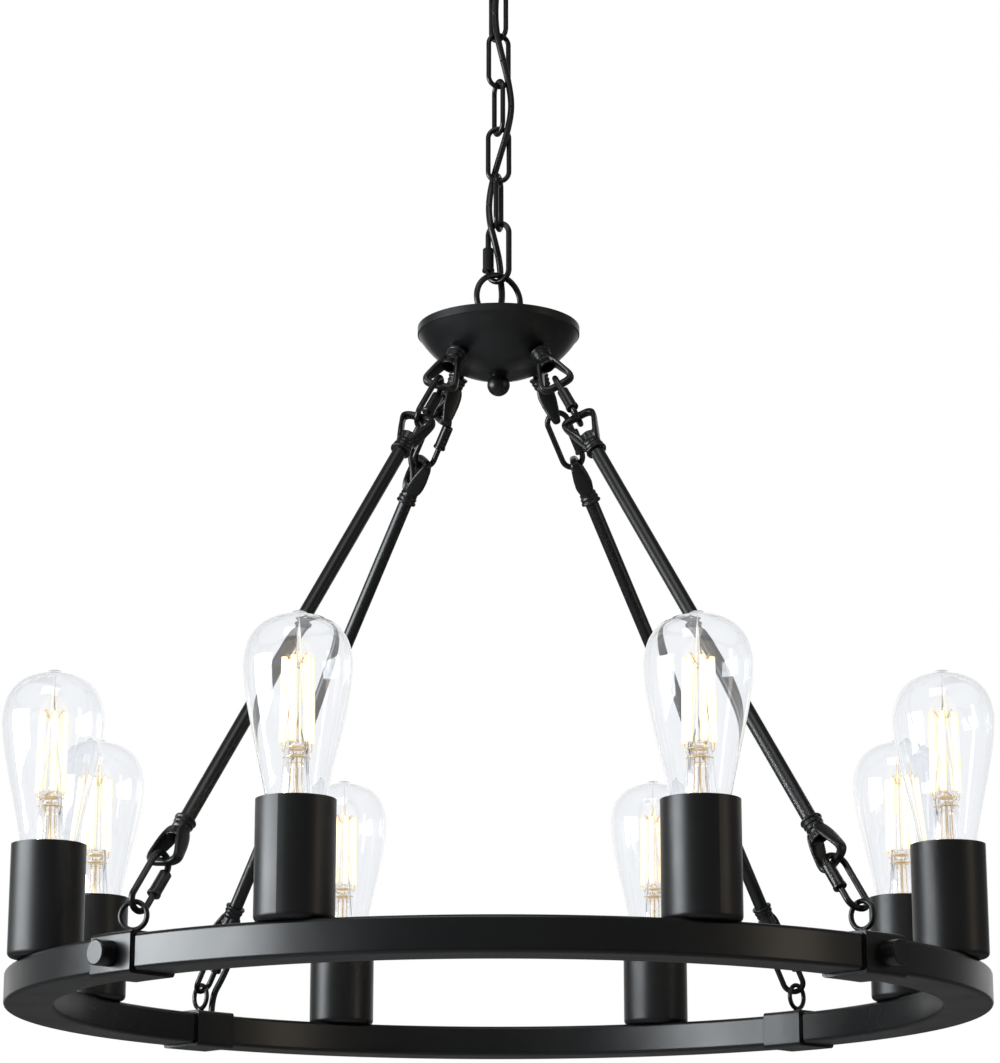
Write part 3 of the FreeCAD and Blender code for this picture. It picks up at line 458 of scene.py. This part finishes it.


# Most looks give a colour and the least and most roughness, and the glasses a tint and the
# strength of their painted glow.
black = powder_coat("black_powder_coat", (0.0062, 0.0065, 0.0070), 0.30, 0.40)
ring_black = powder_coat("ring_powder_coat", (0.0062, 0.0067, 0.0074), 0.26, 0.36)
cup_black = powder_coat("cup_powder_coat", (0.0060, 0.0062, 0.0066), 0.36, 0.46)
cast_black = powder_coat("cast_black_coat", (0.0056, 0.0058, 0.0062), 0.28, 0.40,
                         edge=0.0005, relief=0.00005)
wire_black = powder_coat("wire_black_coat", (0.0056, 0.0058, 0.0062), 0.24, 0.36, edge=0.0002)
cord_black = moulded("cord_jacket", (0.0050, 0.0054, 0.0062), 0.28, 0.40,
                     relief=0.00004, scale=500)
holder_black = moulded("lampholder_plastic", (0.012, 0.012, 0.012), 0.45, 0.6)
connector_orange = moulded("connector_plastic", (0.55, 0.12, 0.02), 0.35, 0.5)
zinc = plated("zinc_plate", (0.60, 0.60, 0.58), 0.28, 0.42)
brass = plated("drawn_brass", (0.78, 0.58, 0.28), 0.22, 0.35)
cap_metal = plated("bulb_cap_metal", (0.72, 0.72, 0.70), 0.22, 0.34)
support_metal = plated("support_wire", (0.82, 0.60, 0.30), 0.25, 0.4)
clear_glass = glass("clear_glass", (0.905, 0.917, 0.935), 0.025)
stem_glass = glass("stem_glass", (0.99, 0.97, 0.92), 0.05)
filament_glow = glowing("lit_filament")

NODE_LOOKS = {
    "canopy_dish": black, "mounting_strap": zinc, "canopy_nipple": zinc,
    "canopy_nuts": zinc, "canopy_loop": cast_black, "main_link": wire_black,
    "main_gate": wire_black, "hub_loop": cast_black, "hub_dish": black,
    "hub_cover": black, "hub_nipple": zinc, "hub_nuts": zinc, "finial": black,
    "hub_hooks": cast_black, "wire_connectors": connector_orange,
    "ring_arcs": ring_black, "ring_collars": ring_black, "ring_splices": zinc,
    "collar_bolts": ring_black, "ring_eyes": wire_black, "socket_cups": cup_black,
    "lampholders": holder_black, "lampholder_shells": brass, "holder_hardware": zinc,
}
for number in range(1, 6):
    NODE_LOOKS[f"chain_link_{number}"] = wire_black
for leg in LEG_AZIMUTHS:
    NODE_LOOKS[f"rod_{leg}"] = black
    NODE_LOOKS[f"rod_hooks_{leg}"] = cast_black
    NODE_LOOKS[f"quick_links_{leg}"] = wire_black
    NODE_LOOKS[f"upper_gate_{leg}"] = wire_black
    NODE_LOOKS[f"lower_gate_{leg}"] = wire_black
for name, look in NODE_LOOKS.items():
    mesh = nodes[name].data
    mesh.materials.clear()
    mesh.materials.append(look)
for piece in cord_pieces:
    piece.data.materials.append(cord_black)


# ---------------------------------------------------------------- cast hooks

# The turned body in millimetres: radius, and height from the flange's seat towards the bar.
HOOK_BODY = [
    (2.9, -7.0), (3.7, -7.0), (3.7, 0.0), (6.9, 0.0), (7.1, 0.5), (7.1, 1.5), (6.8, 2.0),
    (5.6, 2.4), (6.3, 3.2), (6.7, 4.1), (6.3, 5.0), (5.3, 5.6), (5.9, 6.3), (6.2, 7.1),
    (5.8, 7.9), (4.9, 8.6), (5.2, 11.0), (5.9, 14.5), (5.6, 15.2), (4.6, 15.0), (3.8, 12.0),
    (2.9, 9.0), (2.9, -7.0),
]
# Along one arm and half the bar, in millimetres: sideways, height, half the depth and half
# the thickness.
HOOK_ARM = [
    (4.2, 8.5, 4.9, 1.6), (5.2, 12.5, 6.0, 1.9), (7.1, 18.0, 5.9, 1.8), (8.8, 23.0, 5.1, 1.7),
    (10.2, 27.5, 4.2, 1.8), (10.3, 30.4, 3.4, 2.1), (8.2, 32.2, 2.9, 2.3), (4.5, 32.8, 2.5, 2.5),
]
# How square the arms' section is: 1 is an ellipse, and towards 0 its corners fill out.
SQUARENESS = 0.7
# The casting's voxels, in metres, and how often its surface is smoothed.
HOOK_GRAIN, HOOK_SMOOTHING = 0.0005, 4
# How far each leg's hooks are turned about the leg, in degrees: on the hub and the rod's
# top, and on the rod's foot.
HUB_TURN = {"front_left": 55, "front_right": -33, "back_right": -40, "back_left": 20}
LOW_TURN = {"front_left": 80, "front_right": 12, "back_right": -22, "back_left": -14}


def stirrup():
    """The two arms and the bar as one bent strip, wide at the arms and round at the bar."""
    sides = 20
    other_arm = [(-x, *others) for x, *others in reversed(HOOK_ARM)]
    points = smoothed(HOOK_ARM + other_arm, steps=6)
    vertices = []
    for i, (x, z, depth, thick) in enumerate(points):
        a, b = points[max(i - 1, 0)], points[min(i + 1, len(points) - 1)]
        along = Vector((b[0] - a[0], 0, b[1] - a[1])).normalized()
        across = Vector((along.z, 0, -along.x))
        for k in range(sides):
            t = 2 * math.pi * k / sides
            c, d = math.cos(t), math.sin(t)
            side = Vector((x, 0, z)) + across * thick * math.copysign(abs(c) ** SQUARENESS, c)
            side.y += depth * math.copysign(abs(d) ** SQUARENESS, d)
            vertices.append(side / 1000)
    return mesh_object("hook_arms", vertices, tube_faces(len(points), sides))


def cast_hook_mesh():
    """The hook as one casting, its joins filled and its corners rounded."""
    body = lathe("hook_body", metres(HOOK_BODY), sides=40)
    rough = joined("hook_rough", [body, stirrup()])
    remesh = rough.modifiers.new("casting", "REMESH")
    remesh.mode, remesh.voxel_size = "VOXEL", HOOK_GRAIN
    bpy.context.view_layer.update()
    cast = bpy.data.meshes.new_from_object(
        rough.evaluated_get(bpy.context.evaluated_depsgraph_get()))
    bpy.data.objects.remove(rough)
    shape = bmesh.new()
    shape.from_mesh(cast)
    for _ in range(HOOK_SMOOTHING):
        bmesh.ops.smooth_vert(shape, verts=shape.verts, factor=0.5, use_axis_x=True,
                              use_axis_y=True, use_axis_z=True)
    shape.to_mesh(cast)
    shape.free()
    cast.polygons.foreach_set("use_smooth", [True] * len(cast.polygons))
    cast.materials.clear()
    cast.materials.append(cast_black)
    cast.name = "cast_hook"
    return cast


def hook_pieces():
    """The twelve cast hooks: for each leg, one on the hub and two on the rod."""
    cast = cast_hook_mesh()
    for leg in LEG_AZIMUTHS:
        body, rod_hooks = f"leg_{leg}", f"rod_hooks_{leg}"
        places = {
            "hub": ("hub", "hub_hooks", leg_frame(leg, 0, HUB_TURN[leg])),
            "upper": (body, rod_hooks, leg_frame(leg, ROD_START, HUB_TURN[leg], back=True)),
            "lower": (body, rod_hooks, leg_frame(leg, ROD_END, LOW_TURN[leg])),
        }
        for where, (body, node, place) in places.items():
            piece = bpy.data.objects.new(f"hook_{where}_{leg}", cast)
            scene.collection.objects.link(piece)
            piece.matrix_world = place
            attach(piece, body)
            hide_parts(node)


hook_pieces()


# ---------------------------------------------------------------- bulbs

# The glass in millimetres: its outside from the cap up to the sealed tip, its thickness,
# and how many times as thick the tip is.
GLASS = [
    (11.6, 19.2), (12.8, 24.5), (16.0, 28.5), (18.2, 34.0), (20.6, 46.0), (23.8, 61.0),
    (27.4, 77.0), (30.4, 93.0), (31.9, 107.0), (31.5, 116.0), (29.0, 125.0),
    (24.2, 132.0), (17.6, 136.8), (10.4, 139.2), (6.0, 140.6), (3.8, 142.0), (0.0, 142.9),
]
WALL, TIP = 0.7, 1.4
# The cap in millimetres: its contact and shoulder, its thread's start and pitch and how
# many turns it has, and its rim.
CAP_FOOT = [(0.0, 0.0), (4.2, 0.2), (4.8, 1.6), (8.6, 3.4), (11.2, 6.2)]
THREAD_START, THREAD_PITCH, THREAD_TURNS = 7.0, 3.3, 5
CAP_RIM = [(12.3, 24.0), (13.0, 24.6), (12.8, 24.9), (12.0, 24.2), (10.6, 8.5), (0.0, 6.5)]
# The stem in millimetres: flared foot, two collars, long rod and pressed top.
STEM = [
    (0.0, 22.0), (9.4, 22.0), (9.8, 24.0), (7.2, 30.0), (5.7, 38.0), (5.4, 46.0),
    (5.6, 51.0), (6.6, 53.0), (6.9, 55.0), (6.0, 57.0), (6.4, 59.5), (6.2, 61.5),
    (3.4, 63.2), (1.9, 66.0), (1.6, 106.0), (2.2, 108.5), (1.2, 110.5), (0.0, 111.0),
]
# From here on in metres. Each lit strip stands between two rings, a low and a high one,
# each given as a radius and a height. Its wires start on the stem and bend once.
FILAMENTS = 6
STRIP_RADIUS, STRIP_STEPS = 0.0019, 12
LOW_RING, HIGH_RING = (0.0088, 0.064), (0.0080, 0.1145)
LOW_FOOT, LOW_ELBOW = (0.0052, 0.0560), (0.0088, 0.0600)
HIGH_FOOT, HIGH_ELBOW = (0.0012, 0.1092), (0.0064, 0.1165)
SUPPORT_RADIUS = 0.0003
# The leads inside the stem, and the hoops around its collars.
LEADS = 4
LEAD_LINE = [(0.0038, 0.0095), (0.0034, 0.030), (0.0030, 0.058)]
LEAD_RADIUS = 0.0004
STEM_HOOPS = [(0.0076, 0.0550), (0.0069, 0.0605)]
HOOP_RADIUS, HOOP_SIDES = 0.0005, 8


def glass_profile():
    """The glass's section: down its inside from the tip, up its outside, and to the foot."""
    outside = smoothed(GLASS, steps=6)
    inside = []
    for i, (r, z) in enumerate(outside):
        a = outside[max(i - 1, 0)]
        b = outside[min(i + 1, len(outside) - 1)]
        length = math.hypot(b[0] - a[0], b[1] - a[1])
        nr, nz = (b[1] - a[1]) / length, -(b[0] - a[0]) / length
        inside.append((max(r - WALL * nr, 0.0), z - WALL * nz))
    inside[-1] = (0.0, outside[-1][1] - WALL * TIP)
    loop = inside[::-1] + outside
    loop.append(inside[0])
    return metres(loop)


def cap_profile():
    """The screw cap with its rolled thread and the contact under it."""
    thread = []
    for k in range(THREAD_TURNS):
        z = THREAD_START + k * THREAD_PITCH
        thread += [(11.9, z), (12.9, z + 0.9), (12.9, z + 1.5), (11.9, z + 2.4)]
    return metres(CAP_FOOT + thread + CAP_RIM)


def filament(angle):
    """A lit strip at this angle, and its two support wires."""
    low, high = around(angle, *LOW_RING), around(angle, *HIGH_RING)
    line = [low.lerp(high, i / STRIP_STEPS) for i in range(STRIP_STEPS + 1)]
    strip = swept("strip", line, STRIP_RADIUS, sides=16, material=filament_glow)
    wires = [
        swept("wire", [around(angle, *foot), around(angle, *elbow), end], SUPPORT_RADIUS,
              sides=8, material=support_metal)
        for foot, elbow, end in ((LOW_FOOT, LOW_ELBOW, low), (HIGH_FOOT, HIGH_ELBOW, high))
    ]
    return strip, wires


def stem_wires():
    """The leads inside the stem and the hoops around it."""
    wires = []
    for k in range(LEADS):
        line = [around(2 * math.pi * k / LEADS, *point) for point in LEAD_LINE]
        wires.append(swept("wire", line, LEAD_RADIUS, sides=8, material=support_metal))
    for radius, height in STEM_HOOPS:
        hoop = [
            (radius + HOOP_RADIUS * math.cos(2 * math.pi * k / HOOP_SIDES),
             height + HOOP_RADIUS * math.sin(2 * math.pi * k / HOOP_SIDES))
            for k in range(HOOP_SIDES)
        ]
        wires.append(lathe("hoop", hoop + hoop[:1], sides=40, material=support_metal))
    return wires


def bulb_pieces():
    """The pieces of one bulb, with the foot of its cap at the origin."""
    envelope = lathe("glass", glass_profile(), sides=96, material=clear_glass)
    cap = lathe("cap", cap_profile(), sides=64, material=cap_metal)
    stem = lathe("stem", metres(smoothed(STEM, steps=4)), sides=40, material=stem_glass)
    strips, wires = [], []
    for k in range(FILAMENTS):
        strip, supports = filament(2 * math.pi * (k + 0.25) / FILAMENTS)
        strips.append(strip)
        wires += supports
    wires += stem_wires()
    return {
        "glass": envelope, "cap": cap, "stem": stem, "filaments": joined("filaments", strips),
        "wires": joined("wires", wires),
    }


def place_bulbs():
    """Every bulb in its place, each turned a quarter further than the one before it."""
    templates = bulb_pieces()
    for number in range(1, 9):
        low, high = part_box(f"bulb_{number}")
        middle = (low + high) / 2
        place = Matrix.Translation((middle.x, middle.y, low.z))
        turned = place @ Matrix.Rotation(math.radians(90 * number), 4, "Z")
        for kind, template in templates.items():
            piece = bpy.data.objects.new(f"bulb_{number}_{kind}", template.data)
            scene.collection.objects.link(piece)
            piece.matrix_world = turned if kind in ("filaments", "wires") else place
            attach(piece, f"bulb_{number}")
            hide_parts(f"bulb_{number}")
    for template in templates.values():
        bpy.data.objects.remove(template)


place_bulbs()


# ---------------------------------------------------------------- floor, backdrop and light

# How bright the room is where the white background isn't.
ROOM_LIGHT = 0.16
# A mirrored ray sees the background where it heads for it, and above the horizon. Both
# edges are soft, and given as parts of a ray's direction.
BACKGROUND_EDGE, HORIZON_EDGE = (0.6, 0.95), (-0.02, 0.06)
# The floor's reach to each side and its height, in metres, and how bright it looks.
FLOOR_REACH, FLOOR_HEIGHT, FLOOR_GLOW = 25.0, -2.3, 0.78


def studio_world():
    """A white background to look at, and to see in metal and glass. Away from it the room
    is dim, so the black coats keep their depth."""
    world = bpy.data.worlds.new("studio")
    world.use_nodes = True
    s = Nodes(world.node_tree)
    direction = s.add("ShaderNodeTexCoord").outputs["Generated"]
    way = s.add("ShaderNodeSeparateXYZ", {0: direction}).outputs
    behind = s.combine("MULTIPLY", s.ramp(way["Y"], *BACKGROUND_EDGE, 0.0, 1.0, "SMOOTHSTEP"),
                       s.ramp(way["Z"], *HORIZON_EDGE, 0.0, 1.0, "SMOOTHSTEP"))
    rays = s.add("ShaderNodeLightPath").outputs
    seen = s.combine("MAXIMUM", rays["Is Camera Ray"], rays["Is Transmission Ray"])
    mirrored = s.combine("MULTIPLY", rays["Is Glossy Ray"], behind)
    white = s.combine("MAXIMUM", seen, mirrored)
    strength = s.combine("ADD", ROOM_LIGHT, s.combine("MULTIPLY", white, 1 - ROOM_LIGHT))
    background = s.tree.nodes["Background"]
    s.set(background, "Color", (1, 1, 1, 1))
    s.set(background, "Strength", strength)
    scene.world = world


def pale_floor():
    """A plain floor far below. It looks pale, and it keeps the chandelier's shadow."""
    s = Shader("floor")
    rays = s.add("ShaderNodeLightPath").outputs
    seen = s.combine("MAXIMUM", rays["Is Camera Ray"], rays["Is Transmission Ray"])
    s.finish(
        Base_Color=[0.5, 0.5, 0.5, 1], Roughness=0.9, Emission_Color=[1, 1, 1, 1],
        Emission_Strength=s.ramp(seen, 0, 1, 0.0, FLOOR_GLOW),
    )
    x, z = FLOOR_REACH, FLOOR_HEIGHT
    plane = mesh_object(
        "floor", [(-x, -x, z), (x, -x, z), (x, x, z), (-x, x, z)], [(0, 1, 2, 3)],
        s.material, smooth=False,
    )


def area_light(name, size, location, target, power, colour=(1, 1, 1)):
    """A rectangular light, sized in metres, that faces a target with this many watts."""
    data = bpy.data.lights.new(name, "AREA")
    data.shape = "RECTANGLE"
    data.size, data.size_y = size
    data.energy = power
    data.color = colour
    light = bpy.data.objects.new(name, data)
    light.location = location
    way = Vector(target) - Vector(location)
    light.rotation_euler = way.to_track_quat("-Z", "Y").to_euler()
    scene.collection.objects.link(light)


studio_world()
pale_floor()
area_light("softbox_left", size=(1.8, 0.9), location=(-2.15, -0.75, -0.47),
           target=(0, 0, -0.6), power=68, colour=(0.92, 0.97, 1))
area_light("softbox_right", size=(0.4, 1.5), location=(2.3, -1.1, -0.4),
           target=(0, 0, -0.6), power=5, colour=(1, 0.86, 0.68))
area_light("above", size=(1.6, 1.2), location=(-0.4, -1.6, 1.5),
           target=(0, 0, -0.5), power=14)
